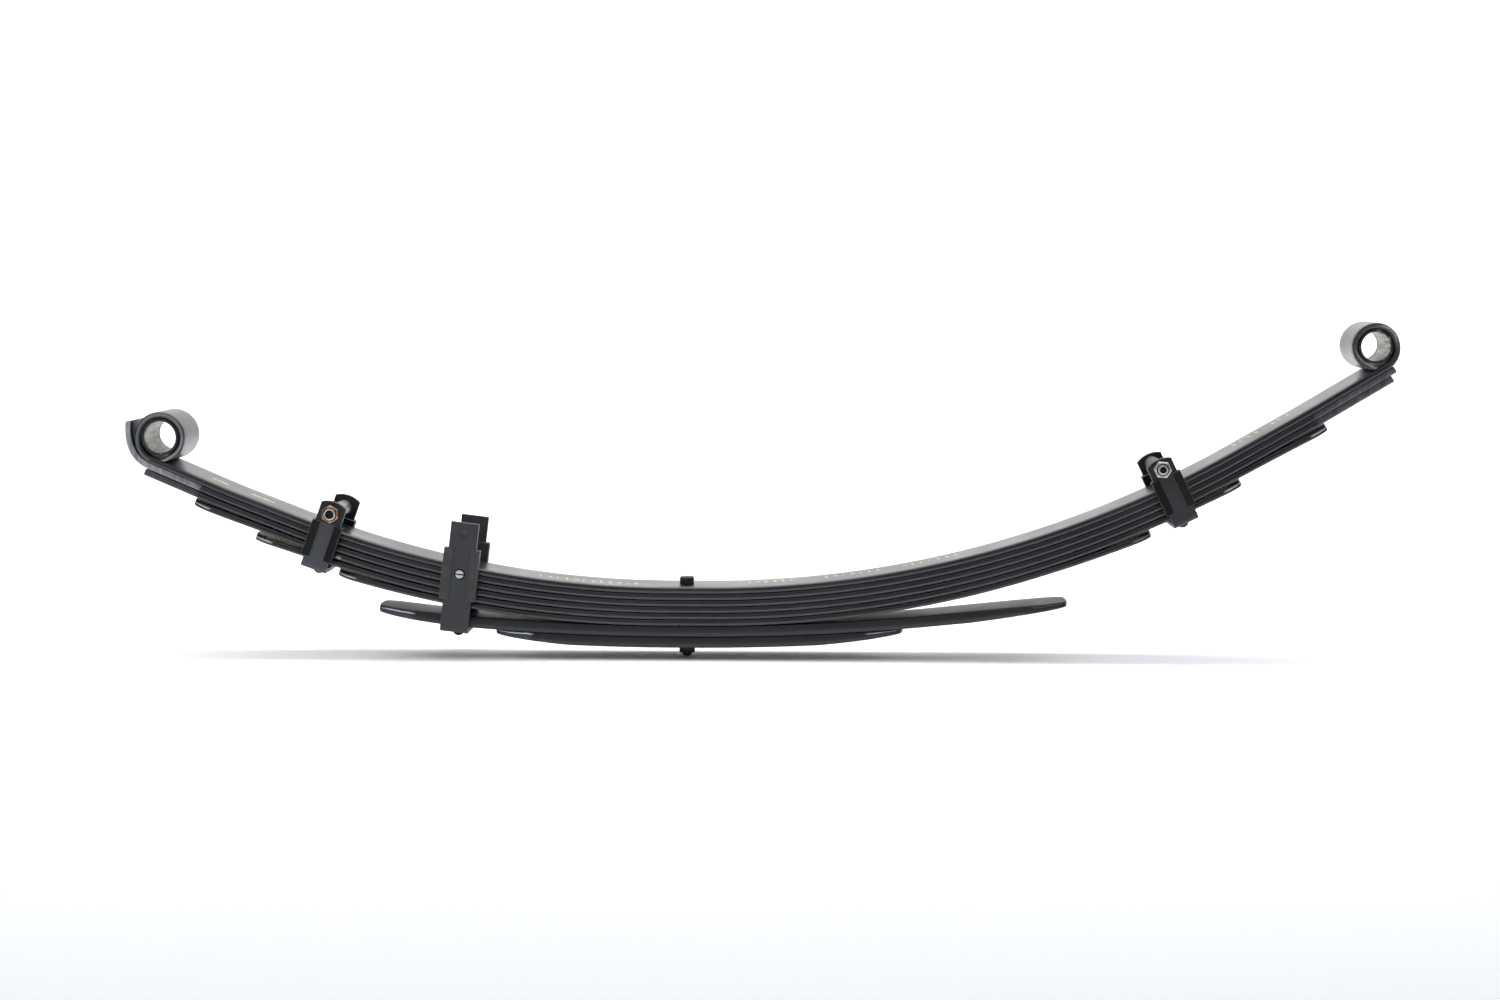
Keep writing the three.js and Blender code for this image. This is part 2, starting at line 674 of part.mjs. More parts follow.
const drilled = {
  fifth_leaf: [FRONT_PLACE, REAR_PLACE].map((place) => placed(rivetSeat(place, THIN), place)),
  upper_helper_leaf: [placed(rivetSeat(GUIDE_PLACE, HELPER), GUIDE_PLACE)],
};

function addLeaf(name, solid) {
  const cut = (drilled[name] ?? []).reduce((leaf, seat) => leaf.subtract(seat), solid);
  addPart(name, cut, STEEL);
}

addLeaf('main_leaf', mainLeaf());
for (const leaf of THIN_LEAVES) addLeaf(leaf.name, thinLeaf(leaf));
for (const leaf of HELPER_LEAVES) addLeaf(leaf.name, helperLeaf(leaf));

addPart('front_eye_sleeve', eyeSleeve(-1, FRONT_EYE), BRIGHT);
addPart('rear_eye_sleeve', eyeSleeve(1, REAR_EYE), BRIGHT);
addPart('centre_bolt', centreBolt(), STEEL);
addPart('centre_nut', centreNut(), STEEL);

const REBOUND_CLIPS = [
  { end: 'front', clip: FRONT_REBOUND, place: FRONT_PLACE, nutLook: PASSIVATED },
  { end: 'rear', clip: REAR_REBOUND, place: REAR_PLACE, nutLook: BRIGHT },
];
for (const { end, clip, place, nutLook } of REBOUND_CLIPS) {
  const add = (part, solid, look) => addPart(`${end}_clip_${part}`, placed(solid, place), look);
  add('strap', reboundStrap(clip, place.floor), STRAP_STEEL);
  add('liner_near', liner(-1, clip, REBOUND_LINER, place.floor), NYLON);
  add('liner_far', liner(1, clip, REBOUND_LINER, place.floor), NYLON);
  add('spacer', spacer(clip), BRIGHT);
  add('bolt', clipBolt(clip), BRIGHT);
  add('nut', clipNut(clip), nutLook);
  add('rivet', rivet(place, THIN), STEEL);
}

addPart('guide_clip_strap', placed(guideStrap(GUIDE_PLACE.floor), GUIDE_PLACE), STRAP_STEEL);
addPart('guide_clip_liner_near', placed(guideLiner(-1, GUIDE_PLACE.floor), GUIDE_PLACE), NYLON);
addPart('guide_clip_liner_far', placed(guideLiner(1, GUIDE_PLACE.floor), GUIDE_PLACE), NYLON);
addPart('guide_clip_rivet', placed(rivet(GUIDE_PLACE, HELPER), GUIDE_PLACE), STEEL);

export default spring;
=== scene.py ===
"""The looks of a multi-leaf spring: rolled leaves, clips, sleeves and fasteners, on a pale floor."""
import math

import bmesh
import bpy
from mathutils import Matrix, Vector


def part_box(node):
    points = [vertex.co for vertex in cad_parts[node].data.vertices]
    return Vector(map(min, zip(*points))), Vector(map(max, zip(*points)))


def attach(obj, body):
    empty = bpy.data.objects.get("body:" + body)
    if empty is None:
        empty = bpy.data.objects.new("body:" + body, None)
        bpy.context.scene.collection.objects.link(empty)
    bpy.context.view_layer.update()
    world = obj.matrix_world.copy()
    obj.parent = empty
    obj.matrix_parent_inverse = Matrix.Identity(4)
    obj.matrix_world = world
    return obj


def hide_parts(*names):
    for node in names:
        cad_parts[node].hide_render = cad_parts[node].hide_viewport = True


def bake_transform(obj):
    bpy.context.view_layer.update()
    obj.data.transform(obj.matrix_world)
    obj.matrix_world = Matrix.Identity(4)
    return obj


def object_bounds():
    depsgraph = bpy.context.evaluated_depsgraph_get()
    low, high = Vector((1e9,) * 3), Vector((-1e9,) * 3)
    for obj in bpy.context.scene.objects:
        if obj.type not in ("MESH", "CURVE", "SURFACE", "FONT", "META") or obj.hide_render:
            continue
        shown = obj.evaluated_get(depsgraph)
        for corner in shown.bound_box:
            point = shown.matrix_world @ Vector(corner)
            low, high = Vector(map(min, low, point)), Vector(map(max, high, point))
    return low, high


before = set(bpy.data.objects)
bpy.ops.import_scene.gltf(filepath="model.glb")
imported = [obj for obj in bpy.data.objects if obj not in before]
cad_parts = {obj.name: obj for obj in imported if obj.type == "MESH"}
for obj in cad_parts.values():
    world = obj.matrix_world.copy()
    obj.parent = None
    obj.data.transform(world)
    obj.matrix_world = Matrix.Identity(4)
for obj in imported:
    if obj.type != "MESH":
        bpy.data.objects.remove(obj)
cad_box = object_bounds()
scene = bpy.context.scene
MM = 0.001

# ---------------------------------------------------------------- camera

camera_data = bpy.data.cameras.new("camera")
camera_data.sensor_width = 36
camera_data.lens = 52.63
camera_data.clip_end = 60
camera = bpy.data.objects.new("camera", camera_data)
camera.location = (0.1375, -2.3679, 0.3429)
camera.rotation_euler = (math.radians(83.961), 0, math.radians(1.662))
scene.collection.objects.link(camera)
scene.camera = camera
scene.view_settings.view_transform = "Standard"
scene.view_settings.look = "None"

# ---------------------------------------------------------------- stage and light


def add_mesh(name, verts, faces):
    mesh = bpy.data.meshes.new(name)
    mesh.from_pydata(verts, [], faces)
    mesh.validate()
    mesh.update()
    mesh.polygons.foreach_set("use_smooth", [True] * len(mesh.polygons))
    obj = bpy.data.objects.new(name, mesh)
    scene.collection.objects.link(obj)
    return obj


def backdrop():
    """A pale floor that curves up into a wall behind."""
    floor_z = cad_box[0][2] - 0.0006
    bend, back, high, wide = 1.6, 2.6, 7.0, 7.0
    profile = [(-6.0, floor_z), (back, floor_z)]
    for k in range(1, 17):
        a = k / 16 * math.pi / 2
        profile.append((back + bend * math.sin(a), floor_z + bend * (1 - math.cos(a))))
    profile.append((back + bend, high))
    verts = [(x, y, z) for y, z in profile for x in (-wide, wide)]
    faces = [(2 * i, 2 * i + 1, 2 * i + 3, 2 * i + 2) for i in range(len(profile) - 1)]
    obj = add_mesh("floor", verts, faces)
    return obj


def area_light(name, at, aim, size, power, colour):
    light = bpy.data.lights.new(name, "AREA")
    light.shape = "RECTANGLE"
    light.size, light.size_y = size
    light.energy = power
    light.color = colour
    obj = bpy.data.objects.new(name, light)
    obj.location = at
    obj.rotation_euler = (Vector(aim) - Vector(at)).to_track_quat("-Z", "Y").to_euler()
    scene.collection.objects.link(obj)


area_light("overhead", (0.1, 0.4, 2.6), (0.1, 0.2, 0), (6.5, 5.0), 150, (0.95, 0.985, 1.05))
area_light("wall_wash", (0.1, 0.2, 2.9), (0.1, 4.2, 1.0), (5.0, 1.0), 200, (1, 0.975, 0.935))
area_light("front_fill", (-1.2, -2.6, 1.3), (0.1, 0, 0.05), (1.2, 0.6), 5, (0.97, 0.98, 1))

world = bpy.data.worlds.new("studio")
scene.world = world
world.use_nodes = True
world.node_tree.nodes["Background"].inputs["Color"].default_value = (0.97, 0.98, 1, 1)
world.node_tree.nodes["Background"].inputs["Strength"].default_value = 0.15

# ---------------------------------------------------------------- materials


class Look:
    """Builds one Principled material, a node at a time."""

    def __init__(self, name, **values):
        self.material = bpy.data.materials.new(name)
        self.material.use_nodes = True
        self.tree = self.material.node_tree
        self.shader = self.tree.nodes["Principled BSDF"]
        self.place = self.node("ShaderNodeTexCoord").outputs["Object"]
        for key, value in values.items():
            self.shader.inputs[key.replace("_", " ")].default_value = value

    def node(self, kind, **settings):
        made = self.tree.nodes.new(kind)
        for key, value in settings.items():
            setattr(made, key, value)
        return made

    def feed(self, socket, value):
        if isinstance(value, bpy.types.NodeSocket):
            self.tree.links.new(value, socket)
        else:
            socket.default_value = value

    def set(self, name, value):
        self.feed(self.shader.inputs[name], value)

    def noise(self, scale, detail=3, rough=0.55, stretch=(1, 1, 1)):
        mapping = self.node("ShaderNodeMapping")
        mapping.inputs["Scale"].default_value = stretch
        self.feed(mapping.inputs["Vector"], self.place)
        made = self.node("ShaderNodeTexNoise")
        self.feed(made.inputs["Vector"], mapping.outputs["Vector"])
        made.inputs["Scale"].default_value = scale
        made.inputs["Detail"].default_value = detail
        made.inputs["Roughness"].default_value = rough
        return made.outputs["Fac"]

    def attribute(self, name):
        return self.node("ShaderNodeAttribute", attribute_name=name).outputs["Fac"]

    def math(self, operation, *values):
        made = self.node("ShaderNodeMath", operation=operation)
        for socket, value in zip(made.inputs, values):
            self.feed(socket, value)
        return made.outputs[0]

    def span(self, value, low, high, to_low=0.0, to_high=1.0):
        made = self.node("ShaderNodeMapRange", interpolation_type="SMOOTHSTEP")
        for socket, fed in zip(made.inputs, (value, low, high, to_low, to_high)):
            self.feed(socket, fed)
        return made.outputs[0]

    def mix(self, factor, a, b):
        made = self.node("ShaderNodeMix", data_type="RGBA")
        self.feed(made.inputs["Factor"], factor)
        self.feed(made.inputs[6], a)
        self.feed(made.inputs[7], b)
        return made.outputs[2]

    def axis(self, name):
        split = self.node("ShaderNodeSeparateXYZ")
        self.feed(split.inputs[0], self.place)
        return split.outputs[name]

    def bump(self, *layers):
        """Each layer is a height from 0 to 1 and how deep it goes, in metres."""
        normal = None
        for height, depth in layers:
            made = self.node("ShaderNodeBump")
            made.inputs["Strength"].default_value = 1
            made.inputs["Distance"].default_value = depth
            self.feed(made.inputs["Height"], height)
            if normal:
                self.feed(made.inputs["Normal"], normal)
            normal = made.outputs["Normal"]
        self.set("Normal", normal)


def grey(v, tint=(1, 1, 1)):
    return (v * tint[0], v * tint[1], v * tint[2], 1)


COOL = (0.80, 0.94, 1.30)
WARM = (1.06, 1.0, 0.93)
STEEL_BLUE = (0.90, 0.98, 1.12)


def paint_base(look, dark, light, rough_low, rough_high, grain=0.000012, tint=COOL):
    """Satin black paint: slow mottling, a fine grain and a few pale specks of dust."""
    slow = look.noise(9, 4, 0.6, (1, 1, 2.5))
    fine = look.noise(420, 3)
    specks = look.span(look.noise(650, 2, 0.5), 0.70, 0.78)
    body = look.mix(look.span(slow, 0.3, 0.7), grey(dark, tint), grey(light, tint))
    body = look.mix(look.math("MULTIPLY", specks, 0.35), body, grey(0.16, WARM))
    look.set("Roughness", look.span(look.math("ADD", slow, look.math("MULTIPLY", fine, 0.3)),
                                    0.4, 0.85, rough_low, rough_high))
    look.bump((look.noise(900, 2), grain), (look.noise(60, 3), 0.00003))
    return body


def leaf_paint(name, marked=False, gloss=0.6, rough=(0.25, 0.36)):
    """Paint on a rolled leaf, worn through on its sheared or cropped ends, with painted highlights and
    a painted floor reflection on its edges.
    """
    look = Look(name, Specular_IOR_Level=gloss)
    body = paint_base(look, 0.0085, 0.0145, *rough)
    level = look.attribute("level")
    edge = look.attribute("edge")
    # little light gets into the grooves between leaves
    groove = look.math("MULTIPLY", edge, look.span(look.math("ABSOLUTE", level), 0.70, 0.96))
    body = look.mix(look.math("MULTIPLY", groove, 0.85), body, grey(0.001))
    # the rolled eyes get a painted highlight along the middle of their edge, made partly metallic so
    # it also catches real reflections
    off_highlight = look.math("ABSOLUTE", look.math("SUBTRACT", level, look.attribute("highlight_at")))
    edge_highlight = look.span(off_highlight, 0.55, 0.1)
    edge_highlight = look.math("MULTIPLY", look.math("MULTIPLY", edge_highlight, edge), look.attribute("edge_highlight"))
    # the lower half of each rolled edge is painted paler, a painted reflection of the floor
    lower = look.math("MULTIPLY", edge, look.span(level, -0.1, -0.4))
    body = look.mix(look.math("MULTIPLY", lower, 0.5), body, grey(0.05, (1.02, 1, 1)))
    body = look.mix(edge_highlight, body, grey(0.60, (0.96, 0.99, 1.05)))
    # sheared sides are coarse, with short upright tears that leave bare steel
    sheared = look.math("MULTIPLY", look.attribute("sheared"), look.span(edge, 0.2, 0.8))
    tears = look.noise(300, 4, 0.7, (1, 1, 0.14))
    body = look.mix(look.math("MULTIPLY", sheared, look.span(tears, 0.3, 0.7, 0.35, 1.0)),
                    body, grey(0.42, (0.96, 0.98, 1.06)))
    # cropped corners are black, with one bright streak where the shear has slid: burnished steel,
    # brightened further as a painted highlight
    cropped = look.math("MULTIPLY", look.attribute("cropped"), edge)
    body = look.mix(look.math("MULTIPLY", cropped, 0.85), body, grey(0.003))
    waver = look.math("MULTIPLY", look.math("SUBTRACT", look.noise(95, 3), 0.5), 0.7)
    streak = look.span(look.math("ABSOLUTE", look.math("SUBTRACT", level, 0.1)), 0.34, 0.12)
    streak = look.math("MULTIPLY", streak, look.attribute("burnish_and_glint"))
    # a helper's cropped side is paler on its cut facet, with a painted highlight along a wavy ridge
    # near its top
    off_ridge = look.math("ADD", look.math("SUBTRACT", level, 0.58), waver)
    ridge = look.span(look.math("ABSOLUTE", off_ridge), 0.2, 0.09)
    crest = look.attribute("crest")
    body = look.mix(look.math("MULTIPLY", look.math("MULTIPLY", crest, edge), 0.8), body,
                    grey(0.05, COOL))
    bright = look.math("MAXIMUM", streak, look.math("MULTIPLY", ridge, crest))
    body = look.mix(bright, body, grey(0.72, (0.97, 0.99, 1.03)))
    look.set("Metallic", look.math("MAXIMUM", look.math("MULTIPLY", bright, 0.35),
                                   look.math("MULTIPLY", edge_highlight, 0.85)))
    chalk = look.math("MULTIPLY", look.attribute("chalk"), look.span(level, 0.985, 0.997))
    chalk = look.math("MULTIPLY", chalk, look.span(look.noise(260, 3), 0.34, 0.52))
    body = look.mix(chalk, body, (0.50, 0.42, 0.02, 1))
    body = look.mix(scrap(look), body, grey(0.24))
    if marked:
        body = look.mix(paint_dashes(look), body, (0.62, 0.56, 0.12, 1))
    look.set("Base Color", body)
    return look.material


def scrap(look):
    """A small rounded pale scrap, stuck on one leaf's edge beside the front clip."""
    along = look.math("DIVIDE", look.math("ADD", look.attribute("along"), 373), 3.1)
    drop = look.math("DIVIDE", look.math("ADD", look.attribute("level"), 0.25), 0.6)
    far = look.math("ADD", look.math("MULTIPLY", along, along), look.math("MULTIPLY", drop, drop))
    return look.math("MULTIPLY", look.span(far, 1.1, 0.8), look.attribute("scrap"))


STROKE_PITCH = 9.5


def paint_dashes(look):
    """Rows of short yellow paint strokes that spell nothing."""
    across = look.attribute("across")
    along = look.math("ADD", look.attribute("along"), look.math("MULTIPLY", across, 0.12))
    cell = look.math("FLOOR", look.math("DIVIDE", along, STROKE_PITCH))
    place = look.math("FRACT", look.math("DIVIDE", along, STROKE_PITCH))
    random_cell = look.node("ShaderNodeTexWhiteNoise", noise_dimensions="1D")
    look.feed(random_cell.inputs["W"], cell)
    chance = random_cell.outputs["Value"]
    width = look.span(chance, 0, 1, 0.16, 0.5)
    stroke = look.math("LESS_THAN", place, width)
    reach = look.span(chance, 0, 1, 7.5, 3.5)
    off_middle = look.math("ABSOLUTE", look.math("SUBTRACT", across, look.attribute("ink_middle")))
    height = look.math("LESS_THAN", off_middle, reach)
    worn = look.span(look.noise(240, 4, 0.7), 0.36, 0.56)
    inked = look.math("GREATER_THAN", look.attribute("inked"), 0.5)
    on = look.math("MULTIPLY", inked, look.math("MULTIPLY", stroke, height))
    near_dash = look.math("LESS_THAN", look.math("ABSOLUTE", look.math("ADD", across, 2)), 2.0)
    dash = look.math("MULTIPLY", look.math("GREATER_THAN", look.attribute("dash"), 0.5), near_dash)
    return look.math("MULTIPLY", look.math("MAXIMUM", look.math("MULTIPLY", on, 0.75), dash), worn)


def strap_paint(name, dark, light, ear=None):
    """A strap's duller paint, darker on the ear above its liners. ear is a point that the ear's
    foot passes through, and the clip's lean in degrees."""
    look = Look(name, Specular_IOR_Level=0.4)
    body = paint_base(look, dark, light, 0.42, 0.56, 0.00003, STEEL_BLUE)
    scuff = look.span(look.noise(70, 5, 0.7, (1, 1, 0.4)), 0.60, 0.74)
    body = look.mix(look.math("MULTIPLY", scuff, 0.3), body, grey(0.09, COOL))
    if ear:
        x, z, lean = ear
        up = (math.sin(math.radians(lean)), math.cos(math.radians(lean)))
        height = look.math("ADD", look.math("MULTIPLY", look.axis("X"), up[0]),
                           look.math("MULTIPLY", look.axis("Z"), up[1]))
        foot = (x * up[0] + z * up[1]) * MM
        above = look.span(height, foot - 0.0004, foot + 0.0004)
        body = look.mix(look.math("MULTIPLY", above, 0.9), body, grey(0.011, COOL))
    look.set("Base Color", body)
    return look.material


def nylon(name, dark, light):
    look = Look(name, Specular_IOR_Level=0.2)
    mottle = look.noise(60, 4)
    look.set("Base Color", look.mix(look.span(mottle, 0.3, 0.7), grey(dark), grey(light)))
    look.set("Roughness", look.span(mottle, 0.3, 0.7, 0.42, 0.62))
    look.bump((look.noise(800, 3), 0.00004), (look.noise(45, 2), 0.0001))
    return look.material


def metal(name, colour, dark, rough=(0.22, 0.4)):
    """Bare or plated steel, with fine tool marks and grime in patches."""
    look = Look(name, Metallic=0.92, Specular_IOR_Level=0.5)
    marks = look.noise(900, 3, 0.6)
    patches = look.span(look.noise(110, 4, 0.65), 0.42, 0.68)
    body = look.mix(look.math("MULTIPLY", marks, 0.45), colour, dark)
    look.set("Base Color", look.mix(look.math("MULTIPLY", patches, 0.5), body, dark))
    look.set("Roughness", look.span(marks, 0.3, 0.7, *rough))
    look.bump((marks, 0.00002))
    return look.material


def sleeve_steel():
    """Bare bore with overspray: ragged black paint creeps in from both faces."""
    look = Look("sleeve_steel", Specular_IOR_Level=0.5)
    reach = look.math("ABSOLUTE", look.axis("Y"))
    ragged = look.math("ADD", reach, look.math("MULTIPLY", look.math(
        "SUBTRACT", look.noise(70, 5, 0.7), 0.5), 0.042))
    painted = look.span(ragged, 0.0245, 0.0256)
    streaks = look.noise(420, 4, 0.6, (1, 0.1, 1))
    smear = look.span(look.noise(34, 4, 0.6, (1, 0.5, 1)), 0.42, 0.62)
    bare = look.mix(streaks, grey(0.40, WARM), grey(0.24, WARM))
    bare = look.mix(look.math("MULTIPLY", smear, 0.7), bare, grey(0.09, (1.08, 1, 0.88)))
    look.set("Base Color", look.mix(painted, bare, grey(0.010, COOL)))
    look.set("Metallic", look.span(painted, 0, 1, 0.6, 0))
    look.set("Roughness", look.span(streaks, 0.3, 0.7, 0.36, 0.52))
    look.bump((streaks, 0.00002), (painted, 0.00015))
    return look.material


def floor_paper():
    look = Look("floor_paper", Specular_IOR_Level=0.15)
    fibre = look.noise(320, 4)
    look.set("Base Color", look.mix(fibre, grey(0.90), grey(0.93)))
    look.set("Roughness", look.span(fibre, 0.3, 0.7, 0.8, 0.9))
    return look.material


# a point on each rebound clip where its liners end and the strap's ear begins, and its lean
EAR_FOOT = {"front": (-384.7, 69.3, 19.56), "rear": (511.1, 122.8, -25.83)}

LOOKS = {
    "leaf": leaf_paint("leaf_paint"),
    "helper": leaf_paint("helper_paint", gloss=0.42, rough=(0.42, 0.54)),
    "main": leaf_paint("leaf_paint_marked", marked=True),
    "front_strap": strap_paint("front_strap_paint", 0.052, 0.066, ear=EAR_FOOT["front"]),
    "rear_strap": strap_paint("rear_strap_paint", 0.018, 0.028, ear=EAR_FOOT["rear"]),
    "guide_strap": strap_paint("guide_strap_paint", 0.030, 0.040),
    # painted highlight for strap bevels
    "strap_edge_highlight": strap_paint("strap_edge_highlight", 0.24, 0.34),
    "nylon": nylon("nylon", 0.003, 0.006),
    # painted highlight for liner bevels
    "nylon_edge_highlight": nylon("nylon_edge_highlight", 0.20, 0.30),
    "satin_nylon": nylon("satin_nylon", 0.045, 0.065),
    "peg": nylon("peg_nylon", 0.55, 0.70),
    "sleeve": sleeve_steel(),
    "zinc": metal("zinc", grey(0.66, WARM), grey(0.22, WARM)),
    "copper": metal("passivated", (0.62, 0.33, 0.20, 1), (0.30, 0.13, 0.07, 1), (0.3, 0.45)),
    "spacer": metal("spacer_zinc", grey(0.26, WARM), grey(0.10, WARM), (0.28, 0.4)),
    "fastener": strap_paint("fastener_paint", 0.012, 0.022),
    # painted shade for nut and bolt recesses
    "recess": nylon("recess_shade", 0.006, 0.012),
}
backdrop().data.materials.append(floor_paper())

# ---------------------------------------------------------------- the spring's line

FRONT, REAR = -1, 1


def arc(radius, turn):
    """A run of a line that turns by so many degrees."""
    return radius * math.radians(turn), radius


# each line is made of runs: a length and its radius, or 0 where it is straight
LINE = {
    FRONT: [(17.5, 0), arc(1103, 21.1), (70, 0), arc(800, 2.2), (74, 0)],
    REAR: [(24.5, 0), arc(1128, 29.85), (70, 0), arc(1200, 1.35), (83.5, 0)],
}
HELPER_LINE = {
    FRONT: [(10, 0), (258, 2750), (40, 800)],
    REAR: [(10, 0), (262, 2600)],
}
EYE = {
    FRONT: {"inner": 20.6, "lift": 23.4, "tip": 24.4, "bore": 17.3},
    REAR: {"inner": 18.5, "lift": 21.4, "tip": 22.2, "bore": 15.6},
}
WIDTH, THIN, PITCH, GAP, HELPER = 60.0, 6.6, 7.0, 0.4, 11.7
SPREAD = {FRONT: 0.85, REAR: 0.25}
SPREAD_LENGTH, DROOP_LENGTH = 320.0, 140.0


def point_on(line, s):
    """Where s lies along a line that starts level at the centre bolt: x, z and slope."""
    x = z = slope = 0.0
    left = s
    for run, radius in line:
        step = min(left, run)
        if radius:
            after = slope + step / radius
            x += radius * (math.sin(after) - math.sin(slope))
            z += radius * (math.cos(slope) - math.cos(after))
            slope = after
        else:
            x += step * math.cos(slope)
            z += step * math.sin(slope)
        left -= step
        if left <= 0:
            break
    return x + left * math.cos(slope), z + left * math.sin(slope), slope


def below(line, side, s, depth):
    x, z, slope = point_on(line, s)
    return side * (x + depth * math.sin(slope)), z - depth * math.cos(slope)


def length_of(line):
    return sum(run for run, _ in line)


def smooth(t):
    t = min(1.0, max(0.0, t))
    return t * t * (3 - 2 * t)


def stations(end, step):
    count = math.ceil(end / step)
    return [end * k / count for k in range(count + 1)]


# ---------------------------------------------------------------- rolled leaves

EDGE_STEPS = 8
TOP_STEPS = 6
SHARP_ROLLED = math.radians(46)
STATION_STEP = 9.0
CROP_LIP, CROP_IN = 2.5, 12  # a cropped end's blunt lip, and how far its corners are cut in
TRIM_IN = 1.2  # how far a sheared side is cut in
SIDE_BULGE = 2.0
CHALK_FROM, CHALK_TO = 52, 14  # back from a leaf's tip
LOWEST = 0.22  # how far below the middle of its edge a rolled bar is widest
ATTRIBUTES = ("along", "across", "level", "edge", "sheared", "cropped", "burnish_and_glint", "crest",
              "edge_highlight", "highlight_at", "chalk", "scrap", "inked", "ink_middle", "dash")


def edge_level(a):
    return math.sin(a) - LOWEST * math.cos(a) ** 2


def bar(name, rows):
    """Skins a rolled bar. A row holds its top and bottom point, half width, how far its sides
    bulge, and the wear painted there."""
    verts, faces = [], []
    values = {key: [] for key in ATTRIBUTES}
    for row in rows:
        (tx, tz), (bx, bz) = row["top"], row["bottom"]
        half, bulge = row["half"], row["bulge"]
        ring = []
        for k in range(EDGE_STEPS + 1):
            a = math.pi / 2 - math.pi * k / EDGE_STEPS
            ring.append((-(half - bulge) - bulge * math.cos(a) ** 0.75, edge_level(a), 1.0))
        for k in range(1, TOP_STEPS):
            ring.append((-(half - bulge) + 2 * (half - bulge) * k / TOP_STEPS, -1.0, 0.0))
        for k in range(EDGE_STEPS + 1):
            a = -math.pi / 2 + math.pi * k / EDGE_STEPS
            ring.append(((half - bulge) + bulge * math.cos(a) ** 0.75, edge_level(a), 1.0))
        for k in range(1, TOP_STEPS):
            ring.append(((half - bulge) - 2 * (half - bulge) * k / TOP_STEPS, 1.0, 0.0))
        for y, level, edge in ring:
            t = (1 + level) / 2
            verts.append(((bx + (tx - bx) * t) * MM, y * MM, (bz + (tz - bz) * t) * MM))
            mine = {"across": y, "level": level, "edge": edge if abs(level) < 0.995 else 0.0}
            for key in ATTRIBUTES:
                values[key].append(mine.get(key, row.get(key, 0.0)))
    n = len(ring)
    for i in range(len(rows) - 1):
        for k in range(n):
            m = (k + 1) % n
            faces.append((i * n + k, i * n + m, (i + 1) * n + m, (i + 1) * n + k))
    faces.append(tuple(range(n))[::-1])
    last = (len(rows) - 1) * n
    faces.append(tuple(last + k for k in range(n)))
    # a front half is skinned the other way round
    if rows[1]["top"][0] < rows[0]["top"][0]:
        faces = [face[::-1] for face in faces]
    obj = add_mesh(name, verts, faces)
    for key in ATTRIBUTES:
        layer = obj.data.attributes.new(key, "FLOAT", "POINT")
        layer.data.foreach_set("value", values[key])
    obj.data.set_sharp_from_angle(angle=SHARP_ROLLED)
    return obj


def end_rows(tip, form):
    """Stations along a half leaf, closer where the end is cropped or sheared."""
    crop, trim = form.get("crop"), form.get("trim")
    marks = stations(tip - (crop or 6), STATION_STEP)
    if crop:
        length = crop - CROP_LIP
        marks += [tip - crop + length * math.sin(math.radians(9 * k)) for k in range(1, 11)]
        marks += [tip - 1.4, tip - 0.5, tip]
    else:
        marks += [tip - 3, tip - 1.2, tip - 0.5, tip]
    if trim:
        at = tip - trim
        marks += [at - 4, at, at + 1.5, at + 5]
    return sorted(set(round(m, 4) for m in marks))


def half_width(s, tip, form):
    """Half the leaf's width at s."""
    full = WIDTH / 2
    if form.get("crop"):
        start = tip - form["crop"]
        reach = form["crop"] - CROP_LIP
        if s <= start:
            return full
        if s <= start + reach:
            return full - CROP_IN * (1 - math.sqrt(max(0.0, 1 - ((s - start) / reach) ** 2)))
        return {0: 18.0, 1: 14.5, 2: 9.0, 3: 3.0}[sum(s > tip - d for d in (2.0, 1.0, 0.2))]
    trim = form.get("trim")
    if trim and s > tip - trim:
        return full - TRIM_IN * smooth((s - (tip - trim)) / 1.8) - (0.7 if s > tip - 0.3 else 0)
    return full


def wear(s, tip, form):
    """What a leaf's end shows at s: cropped, sheared or chalked."""
    found = {"scrap": form.get("scrap", 0.0)}
    if form.get("crop"):
        inside = s - (tip - form["crop"])
        found["cropped"] = smooth((inside + 1) / 2)
        found["burnish_and_glint"] = (smooth((inside - 1) / 3) * smooth((tip - 1.6 - s) / 3)
                              * form.get("shine", 0))
        found["crest"] = smooth((inside - 1) / 2) * smooth((tip - 3 - s) / 6) * form.get("crest", 0)
        found["chalk"] = (form.get("chalk", 0) * smooth((s - (tip - CHALK_FROM)) / 4)
                          * smooth((tip - CHALK_TO - s) / 6))
    if form.get("trim"):
        inside = s - (tip - form["trim"])
        found["sheared"] = smooth(inside / 2) * (0.6 + 0.4 * smooth(inside / 50)) * form["bare"]
    return found


def leaf_rows(side, line, tip, form, top, thickness):
    rows = []
    for s in end_rows(tip, form):
        thin = thickness(s)
        rounding = 0.2 if form.get("trim") else 0.9
        blunt = rounding * smooth((s - (tip - 1.6)) / 1.6) if not form.get("goes_on") else 0.0
        trimmed = form.get("trim") and s > tip - form["trim"] + 1
        rows.append({
            "top": below(line, side, s, top(s) + blunt),
            "bottom": below(line, side, s, top(s) + thin - blunt),
            "half": half_width(s, tip, form),
            "bulge": 0.7 if trimmed else min(SIDE_BULGE, thin * 0.32),
            "along": side * s,
            **wear(s, tip, form),
        })
    return rows


def thin_depth(order, side, tip, droop):
    def depth(s):
        opened = max(0, order - 1) * SPREAD[side] * smooth(s / SPREAD_LENGTH)
        turned_down = droop * max(0.0, (s - (tip - DROOP_LENGTH)) / DROOP_LENGTH) ** 2
        return order * PITCH + opened + turned_down
    return depth


